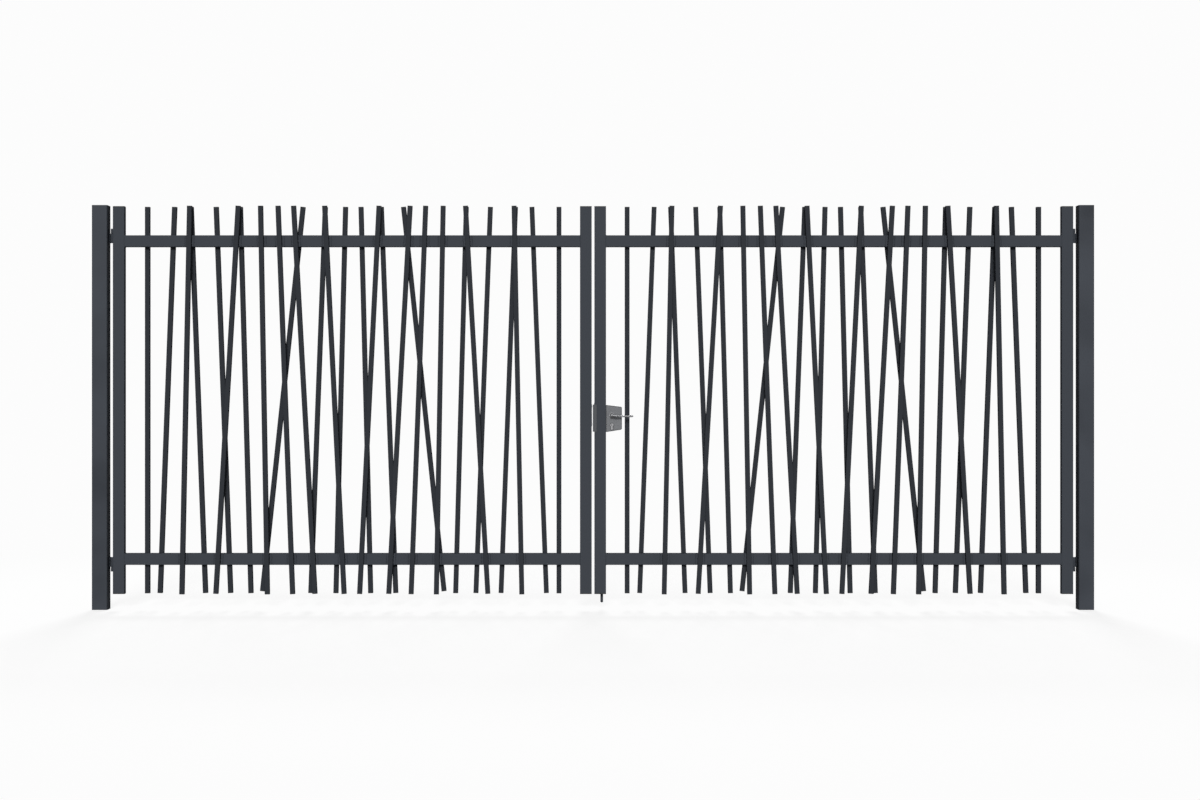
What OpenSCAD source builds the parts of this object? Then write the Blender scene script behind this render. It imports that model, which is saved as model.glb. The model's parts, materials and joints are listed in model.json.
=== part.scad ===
// Double-leaf steel swing gate with slanted square bars in two layers.
// Millimetres. The origin is the centre of the left post's foot, +X runs along the gate
// to the right post, +Y points to the side that the leaves open to, and +Z is up.

/* [Opening and posts] */
// Clear opening between the two posts
clear_opening = 5000; // [4960:10:5200]
// Side of each square post
post_side = 80; // [70:5:120]
// Wall of a post's tube
post_wall = 4; // [3:1:6]
// Outer corner radius of a post's tube
post_corner = 7; // [4:1:10]
// Height of a post's tube above the ground
post_height = 2080; // [2080:10:2400]
// Thickness of the plate that closes a post's foot
foot_plate = 6; // [4:1:12]
// Thickness of the cap on a post
cap_height = 4; // [3:1:8]

/* [Leaves] */
// Height of a leaf
leaf_height = 2000; // [1900:10:2000]
// Height of a leaf's lower end above the ground
leaf_lift = 80; // [60:5:100]
// Gap between a post and its leaf
hinge_gap = 24; // [22:1:30]
// Gap between the two leaves
centre_gap = 14; // [12:1:20]
// Distance from a leaf's ends to the middle of its rails
rail_inset = 180; // [160:5:220]

/* [Tubes] */
// Face width of the stiles and rails
frame_face = 60; // [50:5:60]
// Depth of the stiles and rails, front to back
frame_depth = 40; // [40:5:50]
// Wall of the stiles and rails
frame_wall = 2; // [2:0.5:3]
// Outer corner radius of the stiles and rails
frame_corner = 3.5; // [2:0.5:5]
// Side of the square bars
bar_side = 25; // [20:1:25]
// Wall of the bars
bar_wall = 1.5; // [1:0.5:2]
// Outer corner radius of the bars
bar_corner = 2; // [1:0.5:3]
// Thickness of the plastic plugs in the tube ends
plug = 4; // [3:1:6]

/* [Hinges] */
// Distance from a leaf's ends to the middle of its hinges
hinge_inset = 150; // [120:5:180]
// Height of a hinge, pintle and eye together
hinge_height = 74; // [60:2:90]
// Height of the leaf's eye
eye_height = 24; // [18:1:28]
// Radius of a hinge's knuckle and eye
knuckle_r = 8.5; // [7:0.5:9]
// Radius of a hinge's pin
pin_r = 5; // [4:0.5:6]
// Distance of a hinge's pin behind the middle of the frame's depth
hinge_back = 28; // [28:1:32]

/* [Lock] */
// Height of the lever's spindle above the ground
spindle_z = 1002; // [950:1:1050]
// Distance of the spindle and the cylinder from the stile
backset = 30; // [25:1:35]
// Width of the lock case, from the stile to its free end
case_width = 82; // [70:1:90]
// Thickness of the lock case, front to back
case_depth = 36; // [30:1:40]
// Length of a lever, from the spindle to its tip
lever_length = 110; // [100:1:125]
// Distance of a lever's middle from the middle of the lock case
lever_reach = 57; // [56:1:65]

/* [Drop bolt] */
// Radius of the drop bolt's rod
rod_r = 7; // [6:0.5:8]
// Height of the rod's tip above the ground when it is raised
tip_z = 32; // [20:1:40]
// Length of the rod's upright stretch
rod_length = 600; // [400:10:700]
// Distance that the rod drops
rod_drop = 80; // [60:5:100]

/* [Hidden] */
$fn = 48;

LEFT = -1;
RIGHT = 1;
FRONT = -1;
REAR = 1;

// Colours
powder_coat = [0.25, 0.26, 0.29];
guard_coat = [0.30, 0.31, 0.33];
plug_black = [0.04, 0.04, 0.05];
case_grey = [0.46, 0.47, 0.49];
satin_silver = [0.72, 0.72, 0.73];
nickel = [0.62, 0.62, 0.60];
zinc = [0.42, 0.43, 0.45];

// Places that follow from the driving dimensions
post_pitch = clear_opening + post_side;
gate_x = post_pitch / 2;
leaf_width = (clear_opening - 2 * hinge_gap - centre_gap) / 2;
leaf_top = leaf_lift + leaf_height;
rail_length = leaf_width - 2 * frame_face;
upper_rail_z = leaf_top - rail_inset;
lower_rail_z = leaf_lift + rail_inset;
layer_y = (frame_depth + bar_side) / 2;
left_edge = gate_x - centre_gap / 2;
right_edge = gate_x + centre_gap / 2;
lock_x = right_edge + frame_face;

// Foot and head of each bar of half a leaf, as distances from the leaf's middle: [head, foot].
// The other half is its mirror image. Bars of one layer never cross.
front_half = [
    [-835, -875],
    [-585, -700],
    [-470, -435],
    [-380, -305],
    [-300, -190],
    [-140, -40],
];
rear_half = [
    [-1065, -1065],
    [-925, -1000],
    [-840, -765],
    [-710, -635],
    [-585, -530],
    [-260, -470],
    [-145, -220],
    [-40, -90],
];

// Hinges: the pintle's knuckle, a gap, and the leaf's eye follow each other along the pin
eye_gap = 1;
knuckle_height = hinge_height - eye_height - eye_gap;
eye_bore_r = pin_r + 0.06;
base_thickness = 4;
base_width = 26;
web_width = 12;
pin_chamfer = 1.5;
strap_length = 62;
strap_thickness = 6;
upper_hinge_z = leaf_top - hinge_inset;
lower_hinge_z = leaf_lift + hinge_inset;

// Lock
case_foot_z = spindle_z - 87;
case_top_z = spindle_z + 53;
case_foot_taper = 13;
case_top_taper = 10;
case_corner = 8;
spindle_r = 5;
spindle_bore_r = 5.06;
neck_r = 9;
neck_bore_r = 9.1;
neck_gap = 0.5;
rose_r = 13;
rose_height = 4;
arm_height = 11;
arm_depth = 12;
arm_drop = 5;
cylinder_r = 8.5;
cylinder_tail = 10;
cylinder_height = 33;
cylinder_proud = 4;
cylinder_z = spindle_z - 51;

// Latch guard, keep plate and bolt plate
guard_z = case_foot_z + 2;
guard_height = 140;
guard_width = 20;
guard_thickness = 4;
guard_clear = 6;
edge_plate_thickness = 2;
keep_width = 28;
keep_height = 114;
bolt_plate_width = 22;
bolt_plate_height = 124;
latch_width = 14;
latch_height = 32;

// Drop bolt
rod_x = right_edge + 38;
rod_y = frame_depth / 2 + 16;
rod_bore_r = rod_r + 0.1;
rod_tip = 4;
bend_r = 16;
handle_length = 40;
guide_width = 30;
guide_height = 16;
guide_z = [110, 434];
collar_r = 10;
collar_height = 10;
collar_z = guide_z[0] + guide_height + rod_drop + 1;

// A rectangle with rounded corners, centred on the origin
module soft_rectangle(width, depth, corner) {
    square([width, depth - 2 * corner], center = true);
    square([width - 2 * corner, depth], center = true);
    for (x = [-1, 1], y = [-1, 1])
        translate([x * (width / 2 - corner), y * (depth / 2 - corner)])
            circle(corner);
}

// A rectangular tube that stands on the XY plane
module tube(width, depth, wall, corner, height) {
    linear_extrude(height)
        difference() {
            soft_rectangle(width, depth, corner);
            square([width - 2 * wall, depth - 2 * wall], center = true);
        }
}

// Puts its children on a leaf, whose middle is X = 0 and whose hinges are at -X
module on_leaf(side) {
    translate([gate_x + side * (centre_gap + leaf_width) / 2, 0, 0])
        if (side == LEFT)
            children();
        else
            mirror([1, 0, 0])
                children();
}

// Puts its children beside a post, whose inner face is X = 0 and whose leaf is at +X
module beside_post(side) {
    translate([gate_x + side * clear_opening / 2, 0, 0])
        if (side == LEFT)
            children();
        else
            mirror([1, 0, 0])
                children();
}

// Posts

module post(side) {
    color(powder_coat)
        translate([gate_x + side * post_pitch / 2, 0, 0]) {
            linear_extrude(foot_plate)
                soft_rectangle(post_side, post_side, post_corner);
            translate([0, 0, foot_plate])
                tube(post_side, post_side, post_wall, post_corner, post_height - foot_plate);
        }
}

module post_cap(side) {
    color(powder_coat)
        translate([gate_x + side * post_pitch / 2, 0, post_height])
            linear_extrude(cap_height)
                soft_rectangle(post_side, post_side, post_corner);
}

// Hinges. The lower one is upside down, so that the leaf can't be lifted off.

module hinge_place(side, upper) {
    beside_post(side)
        translate([0, 0, upper ? upper_hinge_z : lower_hinge_z])
            if (upper)
                children();
            else
                mirror([0, 0, 1])
                    children();
}

module pintle(side, upper) {
    color(powder_coat)
        hinge_place(side, upper)
            translate([0, hinge_back, -hinge_height / 2]) {
                translate([0, -base_width + web_width, 0])
                    cube([base_thickness, base_width, knuckle_height]);
                translate([0, -web_width / 2, 0])
                    cube([hinge_gap / 2, web_width, knuckle_height]);
                translate([hinge_gap / 2, 0, 0])
                    cylinder(r = knuckle_r, h = knuckle_height);
                translate([hinge_gap / 2, 0, 0])
                    cylinder(r = pin_r, h = hinge_height - pin_chamfer);
                translate([hinge_gap / 2, 0, hinge_height - pin_chamfer])
                    cylinder(r1 = pin_r, r2 = pin_r - pin_chamfer, h = pin_chamfer);
            }
}

module eye(side, upper) {
    color(powder_coat)
        hinge_place(side, upper)
            translate([hinge_gap / 2, 0, hinge_height / 2 - eye_height])
                difference() {
                    union() {
                        translate([0, hinge_back, 0])
                            cylinder(r = knuckle_r, h = eye_height);
                        translate([0, frame_depth / 2, 0])
                            cube([strap_length, strap_thickness, eye_height]);
                    }
                    translate([0, hinge_back, -1])
                        cylinder(r = eye_bore_r, h = eye_height + 2);
                }
}

// Frame of a leaf

module stile(side, end) {
    color(powder_coat)
        on_leaf(side)
            translate([end * (leaf_width - frame_face) / 2, 0, leaf_lift + plug])
                tube(frame_face, frame_depth, frame_wall, frame_corner, leaf_height - 2 * plug);
}

module rail(side, z_middle) {
    color(powder_coat)
        on_leaf(side)
            translate([-rail_length / 2, 0, z_middle])
                rotate([0, 90, 0])
                    tube(frame_face, frame_depth, frame_wall, frame_corner, rail_length);
}

module stile_plugs(side) {
    color(plug_black)
        on_leaf(side)
            for (end = [-1, 1], z = [leaf_lift, leaf_top - plug])
                translate([end * (leaf_width - frame_face) / 2, 0, z])
                    linear_extrude(plug)
                        soft_rectangle(frame_face, frame_depth, frame_corner);
}

// Bars of a leaf: each starts at the leaf's top and leans to its foot

function both_halves(half) = concat(half, [for (bar = half) -bar]);

module along_bars(side, half, layer) {
    on_leaf(side)
        for (bar = both_halves(half))
            translate([bar[0], layer * layer_y, leaf_top])
                rotate([0, -asin((bar[1] - bar[0]) / leaf_height), 0])
                    children();
}

module bars(side, half, layer) {
    color(powder_coat)
        along_bars(side, half, layer)
            translate([0, 0, plug - leaf_height])
                tube(bar_side, bar_side, bar_wall, bar_corner, leaf_height - 2 * plug);
}

module bar_plugs(side, half, layer) {
    color(plug_black)
        along_bars(side, half, layer)
            for (z = [-plug, -leaf_height])
                translate([0, 0, z])
                    linear_extrude(plug)
                        soft_rectangle(bar_side, bar_side, bar_corner);
}

// Lock. Its shapes are drawn as seen from the front, with X from the stile's inner side.

module on_lock(depth) {
    translate([lock_x, depth / 2, 0])
        rotate([90, 0, 0])
            linear_extrude(depth)
                children();
}

// Profile of the key cylinder: a round plug with a straight tail under it
module cylinder_profile() {
    translate([backset, cylinder_z])
        circle(cylinder_r);
    translate([backset - cylinder_tail / 2, cylinder_z + cylinder_r - cylinder_height + cylinder_tail / 2])
        square([cylinder_tail, cylinder_height - cylinder_r - cylinder_tail / 2]);
    translate([backset, cylinder_z + cylinder_r - cylinder_height + cylinder_tail / 2])
        circle(cylinder_tail / 2);
}

function unit(v) = v / norm(v);

// A corner's tangent length and the middle of its arc, from the two points beside it
function half_angle(before, at, after) = acos(unit(before - at) * unit(after - at)) / 2;
function arc_start(before, at, after) =
    at + unit(before - at) * case_corner / tan(half_angle(before, at, after));
function arc_centre(before, at, after) =
    at + unit(unit(before - at) + unit(after - at)) * case_corner / sin(half_angle(before, at, after));

module case_outline() {
    foot = [0, case_foot_z];
    free_foot = [case_width, case_foot_z + case_foot_taper];
    free_top = [case_width, case_top_z - case_top_taper];
    top = [0, case_top_z];
    polygon([
        foot,
        arc_start(foot, free_foot, free_top),
        arc_start(free_top, free_foot, foot),
        arc_start(free_foot, free_top, top),
        arc_start(top, free_top, free_foot),
        top,
    ]);
    translate(arc_centre(foot, free_foot, free_top))
        circle(case_corner);
    translate(arc_centre(free_foot, free_top, top))
        circle(case_corner);
}

module lock_case() {
    color(case_grey)
        on_lock(case_depth)
            difference() {
                case_outline();
                cylinder_profile();
                translate([backset, spindle_z])
                    circle(spindle_bore_r);
            }
}

module lock_cylinder() {
    color(nickel)
        on_lock(case_depth + 2 * cylinder_proud)
            cylinder_profile();
}

module lever_roses() {
    color(satin_silver)
        for (face = [FRONT, REAR])
            translate([0, face * (case_depth + rose_height) / 2, 0])
                on_lock(rose_height)
                    translate([backset, spindle_z])
                        difference() {
                            circle(rose_r);
                            circle(neck_bore_r);
                        }
}

module lever_spindle() {
    color(zinc)
        on_lock(case_depth + 2 * neck_gap)
            translate([backset, spindle_z])
                circle(spindle_r);
}

module lever(face) {
    neck_length = lever_reach - case_depth / 2 - neck_gap;
    color(satin_silver) {
        translate([0, face * (case_depth / 2 + neck_gap + neck_length / 2), 0])
            on_lock(neck_length)
                translate([backset, spindle_z])
                    circle(neck_r);
        translate([0, face * lever_reach, 0])
            on_lock(arm_depth)
                translate([backset, spindle_z]) {
                    circle(neck_r);
                    translate([0, -arm_drop - arm_height / 2])
                        square([lever_length - arm_height / 2, arm_height]);
                    translate([lever_length - arm_height / 2, -arm_drop])
                        circle(arm_height / 2);
                }
    }
}

// Plates at the meeting edges

module latch_guard() {
    color(guard_coat)
        translate([left_edge + guard_clear, -frame_depth / 2 - guard_thickness, guard_z])
            cube([guard_width, guard_thickness, guard_height]);
}

module keep_plate() {
    color(zinc)
        difference() {
            translate([left_edge, -keep_width / 2, spindle_z - keep_height / 2])
                cube([edge_plate_thickness, keep_width, keep_height]);
            translate([left_edge - 1, -latch_width / 2, spindle_z - latch_height / 2])
                cube([edge_plate_thickness + 2, latch_width, latch_height]);
        }
}

module bolt_plate() {
    color(zinc)
        translate([right_edge - edge_plate_thickness, -bolt_plate_width / 2, spindle_z - bolt_plate_height / 2])
            cube([edge_plate_thickness, bolt_plate_width, bolt_plate_height]);
}

// Drop bolt on the back of the right meeting stile

module drop_bolt_guides() {
    color(powder_coat)
        for (z = guide_z)
            difference() {
                translate([rod_x - guide_width / 2, frame_depth / 2, z])
                    cube([guide_width, rod_y - frame_depth / 2 + guide_width / 2, guide_height]);
                translate([rod_x, rod_y, z - 1])
                    cylinder(r = rod_bore_r, h = guide_height + 2);
            }
}

module drop_bolt_rod() {
    color(zinc)
        translate([rod_x, rod_y, 0]) {
            translate([0, 0, tip_z])
                cylinder(r1 = rod_r - rod_tip, r2 = rod_r, h = rod_tip);
            translate([0, 0, tip_z + rod_tip])
                cylinder(r = rod_r, h = rod_length - rod_tip);
            translate([0, 0, collar_z])
                cylinder(r = collar_r, h = collar_height);
            translate([0, bend_r, tip_z + rod_length])
                rotate([90, 0, -90])
                    rotate_extrude(angle = 90)
                        translate([bend_r, 0])
                            circle(rod_r);
            translate([0, bend_r, tip_z + rod_length + bend_r])
                rotate([-90, 0, 0])
                    cylinder(r = rod_r, h = handle_length);
        }
}

post(LEFT);  // left_post
post(RIGHT);  // right_post
post_cap(LEFT);  // left_cap
post_cap(RIGHT);  // right_cap
pintle(LEFT, true);  // left_upper_pintle
pintle(LEFT, false);  // left_lower_pintle
pintle(RIGHT, true);  // right_upper_pintle
pintle(RIGHT, false);  // right_lower_pintle
stile(LEFT, -1);  // left_hinge_stile
stile(LEFT, 1);  // left_meeting_stile
rail(LEFT, upper_rail_z);  // left_top_rail
rail(LEFT, lower_rail_z);  // left_bottom_rail
bars(LEFT, front_half, FRONT);  // left_front_bars
bars(LEFT, rear_half, REAR);  // left_rear_bars
stile_plugs(LEFT);  // left_stile_plugs
bar_plugs(LEFT, front_half, FRONT);  // left_front_bar_plugs
bar_plugs(LEFT, rear_half, REAR);  // left_rear_bar_plugs
eye(LEFT, true);  // left_upper_eye
eye(LEFT, false);  // left_lower_eye
keep_plate();
stile(RIGHT, -1);  // right_hinge_stile
stile(RIGHT, 1);  // right_meeting_stile
rail(RIGHT, upper_rail_z);  // right_top_rail
rail(RIGHT, lower_rail_z);  // right_bottom_rail
bars(RIGHT, front_half, FRONT);  // right_front_bars
bars(RIGHT, rear_half, REAR);  // right_rear_bars
stile_plugs(RIGHT);  // right_stile_plugs
bar_plugs(RIGHT, front_half, FRONT);  // right_front_bar_plugs
bar_plugs(RIGHT, rear_half, REAR);  // right_rear_bar_plugs
eye(RIGHT, true);  // right_upper_eye
eye(RIGHT, false);  // right_lower_eye
latch_guard();
lock_case();
lock_cylinder();
lever_roses();
bolt_plate();
drop_bolt_guides();
lever_spindle();
lever(FRONT);  // outer_lever
lever(REAR);  // inner_lever
drop_bolt_rod();
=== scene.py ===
"""Looks of a double-leaf steel swing gate: coats, welds, fixings, lock and levers, around its CAD frame.

Lengths are in metres, in the row frame: +X along the closed gate, +Y to the back, +Z up.
"""

import json
import math

import bmesh
import bpy
from bpy.props import FloatProperty, FloatVectorProperty, IntProperty, PointerProperty
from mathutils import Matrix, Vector


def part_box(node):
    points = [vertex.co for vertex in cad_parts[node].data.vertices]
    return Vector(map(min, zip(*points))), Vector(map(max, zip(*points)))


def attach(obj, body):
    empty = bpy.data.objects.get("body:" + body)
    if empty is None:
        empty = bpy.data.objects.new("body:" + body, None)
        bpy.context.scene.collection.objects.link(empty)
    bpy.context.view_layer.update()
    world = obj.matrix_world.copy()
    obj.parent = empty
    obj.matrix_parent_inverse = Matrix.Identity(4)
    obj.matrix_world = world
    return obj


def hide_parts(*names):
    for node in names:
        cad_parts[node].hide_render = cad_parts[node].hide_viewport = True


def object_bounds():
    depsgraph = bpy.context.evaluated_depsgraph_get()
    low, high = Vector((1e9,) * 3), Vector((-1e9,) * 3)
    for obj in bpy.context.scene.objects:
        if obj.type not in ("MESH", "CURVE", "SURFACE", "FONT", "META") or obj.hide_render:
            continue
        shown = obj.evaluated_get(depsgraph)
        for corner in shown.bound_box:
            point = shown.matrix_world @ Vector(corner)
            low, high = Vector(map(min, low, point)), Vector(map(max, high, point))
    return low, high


bl_info = {
    "name": "Swing Gate Finish",
    "version": (1, 0, 0),
    "blender": (4, 5, 0),
    "location": "View3D > Sidebar > Gate",
    "description": "Finishes the steelwork, plugs, welds, fixings, lock and stage of a swing gate",
    "category": "Object",
}

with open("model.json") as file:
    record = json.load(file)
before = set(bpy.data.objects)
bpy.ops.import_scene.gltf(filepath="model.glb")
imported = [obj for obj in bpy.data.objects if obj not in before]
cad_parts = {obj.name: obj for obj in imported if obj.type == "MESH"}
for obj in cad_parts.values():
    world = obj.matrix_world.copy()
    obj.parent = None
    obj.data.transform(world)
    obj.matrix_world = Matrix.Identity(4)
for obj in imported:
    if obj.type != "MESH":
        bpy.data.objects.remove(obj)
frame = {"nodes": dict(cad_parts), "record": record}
CAD_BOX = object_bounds()
NODES = frame["nodes"]

LEAVES = ("left_leaf", "right_leaf")
POST_NODES = ("left_post", "right_post", "left_cap", "right_cap")
PINTLES = ("left_upper_pintle", "left_lower_pintle", "right_upper_pintle", "right_lower_pintle")
EYES = ("left_upper_eye", "left_lower_eye", "right_upper_eye", "right_lower_eye")
BAR_NODES = ("left_front_bars", "left_rear_bars", "right_front_bars", "right_rear_bars")
FRONT, REAR = -1, 1
WHITE = (0.975, 0.975, 0.975, 1)


# ---------------------------------------------------------------- settings


class GateFinishSettings(bpy.types.PropertyGroup):
    """Colours and gloss of the coats and metals"""

    coat: FloatVectorProperty(
        name="Coat",
        description="Anthracite of the leaves and hinges",
        subtype="COLOR", size=3, default=(0.050, 0.056, 0.067),
    )
    # Painted shade: this factor darkens the bars' coat below the frames' same coat, standing in for the shade along the
    # bars' sides
    bar_painted_shade: FloatProperty(
        name="Bar Shade",
        description="How light the bars' coat is next to the frames' coat",
        min=0, max=1, subtype="FACTOR", default=0.58,
    )
    coat_roughness: FloatProperty(
        name="Coat Roughness",
        description="Roughness of the fine-textured coat on the leaves",
        min=0, max=1, subtype="FACTOR", default=0.70,
    )
    post_roughness: FloatProperty(
        name="Post Roughness",
        description="Roughness of the smoother coat on the posts",
        min=0, max=1, subtype="FACTOR", default=0.38,
    )
    guard: FloatVectorProperty(
        name="Guard",
        description="Lighter grey of the latch guard",
        subtype="COLOR", size=3, default=(0.080, 0.085, 0.092),
    )
    plug: FloatVectorProperty(
        name="Plug",
        description="Black of the plastic plugs",
        subtype="COLOR", size=3, default=(0.006, 0.006, 0.007),
    )
    case: FloatVectorProperty(
        name="Lock Case",
        description="Grey of the cast lock case",
        subtype="COLOR", size=3, default=(0.086, 0.089, 0.095),
    )
    lever: FloatVectorProperty(
        name="Lever",
        description="Satin silver of the levers and roses",
        subtype="COLOR", size=3, default=(0.150, 0.152, 0.156),
    )
    nickel: FloatVectorProperty(
        name="Nickel",
        description="Matt nickel of the key cylinder",
        subtype="COLOR", size=3, default=(0.130, 0.130, 0.134),
    )
    zinc: FloatVectorProperty(
        name="Zinc",
        description="Zinc plating of the bolt and plates",
        subtype="COLOR", size=3, default=(0.160, 0.165, 0.175),
    )


class GateShapeSettings(bpy.types.PropertyGroup):
    """Sizes of the welds, fixings, edges and lock details"""

    bead_radius: FloatProperty(
        name="Bead Radius",
        description="Radius of a weld bead",
        min=0.001, max=0.005, unit="LENGTH", default=0.0022,
    )
    bead_pitch: FloatProperty(
        name="Bead Pitch",
        description="Distance between the ripples of a weld bead",
        min=0.002, max=0.010, unit="LENGTH", default=0.0038,
    )
    bead_seed: IntProperty(
        name="Bead Seed",
        description="Seed of the uneven sizes of the ripples",
        min=0, default=7,
    )
    head_radius: FloatProperty(
        name="Screw Head Radius",
        description="Radius of a screw's head",
        min=0.002, max=0.006, unit="LENGTH", default=0.0038,
    )
    head_height: FloatProperty(
        name="Screw Head Height",
        description="How far a screw's head stands proud",
        min=0.0005, max=0.003, unit="LENGTH", default=0.0012,
    )
    plug_round: FloatProperty(
        name="Plug Rounding",
        description="Rounding of a plug's edges",
        min=0.0002, max=0.0018, unit="LENGTH", default=0.0011,
    )
    edge_round: FloatProperty(
        name="Edge Rounding",
        description="Rounding of the edges of plates and castings",
        min=0.0002, max=0.003, unit="LENGTH", default=0.0012,
    )
    cover_inset: FloatProperty(
        name="Cover Inset",
        description="Rim of the lock case that its cover plates leave free",
        min=0.002, max=0.008, unit="LENGTH", default=0.0035,
    )
    cover_height: FloatProperty(
        name="Cover Height",
        description="How far a cover plate stands proud of the lock case",
        min=0.0004, max=0.002, unit="LENGTH", default=0.0008,
    )


class GateStageSettings(bpy.types.PropertyGroup):
    """Camera, lamps and floor"""

    distance: FloatProperty(
        name="Camera Distance",
        description="Distance of the camera in front of the gate",
        min=6, max=30, unit="LENGTH", default=11.0,
    )
    eye_height: FloatProperty(
        name="Camera Height",
        description="Height of the camera above the ground",
        min=0.5, max=2, unit="LENGTH", default=1.0805,
    )
    side_step: FloatProperty(
        name="Camera Side Step",
        description="Distance of the camera to the right of the gate's middle",
        min=-1, max=1, unit="LENGTH", default=0.036,
    )
    lens: FloatProperty(
        name="Lens",
        description="Focal length of the camera",
        min=20, max=200, default=63.9,
    )
    lamp_strength: FloatProperty(
        name="Lamp Strength",
        description="Strength of the distant lamp in front",
        min=0, max=10, default=2.45,
    )
    sky: FloatProperty(
        name="Soft Light",
        description="Strength of the even light from all around",
        min=0, max=2, default=0.18,
    )
    floor_fill: FloatProperty(
        name="Floor Fill",
        description="Glow that lifts the lit floor to white where it is looked at",
        min=0, max=1, default=0.78,
    )


class GateSettings(bpy.types.PropertyGroup):
    """All settings of the gate"""

    finish: PointerProperty(type=GateFinishSettings)
    shape: PointerProperty(type=GateShapeSettings)
    stage: PointerProperty(type=GateStageSettings)


# ---------------------------------------------------------------- shader groups and materials


def shader_group(name, inputs, outputs):
    """A shader node group with float inputs {name: default} and outputs {name: socket type}."""
    tree = bpy.data.node_groups.new(name, "ShaderNodeTree")
    for label, default in inputs.items():
        socket = tree.interface.new_socket(label, in_out="INPUT", socket_type="NodeSocketFloat")
        socket.default_value = default
    for label, kind in outputs.items():
        tree.interface.new_socket(label, in_out="OUTPUT", socket_type=kind)
    return tree


def add(tree, kind, links=None, **values):
    """A node with its attributes set and its inputs linked, or given a value, by name or number."""
    node = tree.nodes.new(kind)
    for key, value in values.items():
        setattr(node, key, value)
    for key, value in (links or {}).items():
        if isinstance(value, bpy.types.NodeSocket):
            tree.links.new(value, node.inputs[key])
        else:
            node.inputs[key].default_value = value
    return node


def math_node(tree, operation, first, second):
    """A Math node's result."""
    return add(tree, "ShaderNodeMath", {0: first, 1: second}, operation=operation).outputs[0]


def grain_group():
    """Fine grain and slow blotches: the texture of a coat, a moulding or a casting."""
    tree = shader_group(
        "Grain and blotches",
        {"Grain Scale": 1500, "Blotch Scale": 3, "Grain": 0.5, "Blotch": 0.5, "Roughness": 0.5},
        {"Height": "NodeSocketFloat", "Shade": "NodeSocketFloat", "Roughness": "NodeSocketFloat"},
    )
    entry = add(tree, "NodeGroupInput").outputs
    place = add(tree, "ShaderNodeTexCoord").outputs["Object"]
    grain = add(tree, "ShaderNodeTexNoise", {"Vector": place, "Scale": entry["Grain Scale"], "Detail": 2})
    peel_scale = math_node(tree, "MULTIPLY", entry["Grain Scale"], 0.22)
    peel = add(tree, "ShaderNodeTexNoise", {"Vector": place, "Scale": peel_scale, "Detail": 1})
    blotch = add(tree, "ShaderNodeTexNoise", {"Vector": place, "Scale": entry["Blotch Scale"], "Detail": 3})
    peel_height = math_node(tree, "MULTIPLY", peel.outputs["Fac"], 2.0)
    height = math_node(tree, "ADD", peel_height, grain.outputs["Fac"])
    height = math_node(tree, "MULTIPLY", height, entry["Grain"])
    slow = math_node(tree, "SUBTRACT", blotch.outputs["Fac"], 0.5)
    slow = math_node(tree, "MULTIPLY", slow, entry["Blotch"])
    speck = math_node(tree, "SUBTRACT", grain.outputs["Fac"], 0.5)
    speck = math_node(tree, "MULTIPLY", speck, math_node(tree, "MULTIPLY", entry["Grain"], 0.6))
    shade = math_node(tree, "ADD", slow, speck)
    shade = math_node(tree, "ADD", shade, 0.5)
    rough = math_node(tree, "ADD", math_node(tree, "MULTIPLY", slow, 0.35), entry["Roughness"])
    exit_node = add(tree, "NodeGroupOutput")
    tree.links.new(height, exit_node.inputs["Height"])
    tree.links.new(shade, exit_node.inputs["Shade"])
    tree.links.new(rough, exit_node.inputs["Roughness"])
    return tree


def brushed_group():
    """Hair lines along one axis, from noise stretched by three factors."""
    tree = shader_group(
        "Hair lines",
        {"X Lines": 30, "Y Lines": 1200, "Z Lines": 1200, "Roughness": 0.3, "Depth": 0.2},
        {"Height": "NodeSocketFloat", "Shade": "NodeSocketFloat", "Roughness": "NodeSocketFloat"},
    )
    entry = add(tree, "NodeGroupInput").outputs
    place = add(tree, "ShaderNodeTexCoord").outputs["Object"]
    scale = add(
        tree, "ShaderNodeCombineXYZ", {"X": entry["X Lines"], "Y": entry["Y Lines"], "Z": entry["Z Lines"]}
    ).outputs[0]
    stretched = add(tree, "ShaderNodeVectorMath", {0: place, 1: scale}, operation="MULTIPLY").outputs[0]
    lines = add(tree, "ShaderNodeTexNoise", {"Vector": stretched, "Scale": 1.0, "Detail": 3}).outputs["Fac"]
    swing = math_node(tree, "MULTIPLY", math_node(tree, "SUBTRACT", lines, 0.5), entry["Depth"])
    exit_node = add(tree, "NodeGroupOutput")
    tree.links.new(swing, exit_node.inputs["Height"])
    tree.links.new(math_node(tree, "ADD", swing, 0.5), exit_node.inputs["Shade"])
    tree.links.new(math_node(tree, "ADD", swing, entry["Roughness"]), exit_node.inputs["Roughness"])
    return tree


def matt_edges(tree, surface, level):
    """Lets the shine fade where a face is seen edge-on, as it does on a textured coat."""
    facing = add(tree, "ShaderNodeLayerWeight", {"Blend": 0.5}).outputs["Facing"]
    straight = math_node(tree, "SUBTRACT", 1.0, facing)
    steep = math_node(tree, "POWER", straight, 3.0)
    tree.links.new(math_node(tree, "MULTIPLY", steep, level), surface.inputs["Specular IOR Level"])


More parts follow.
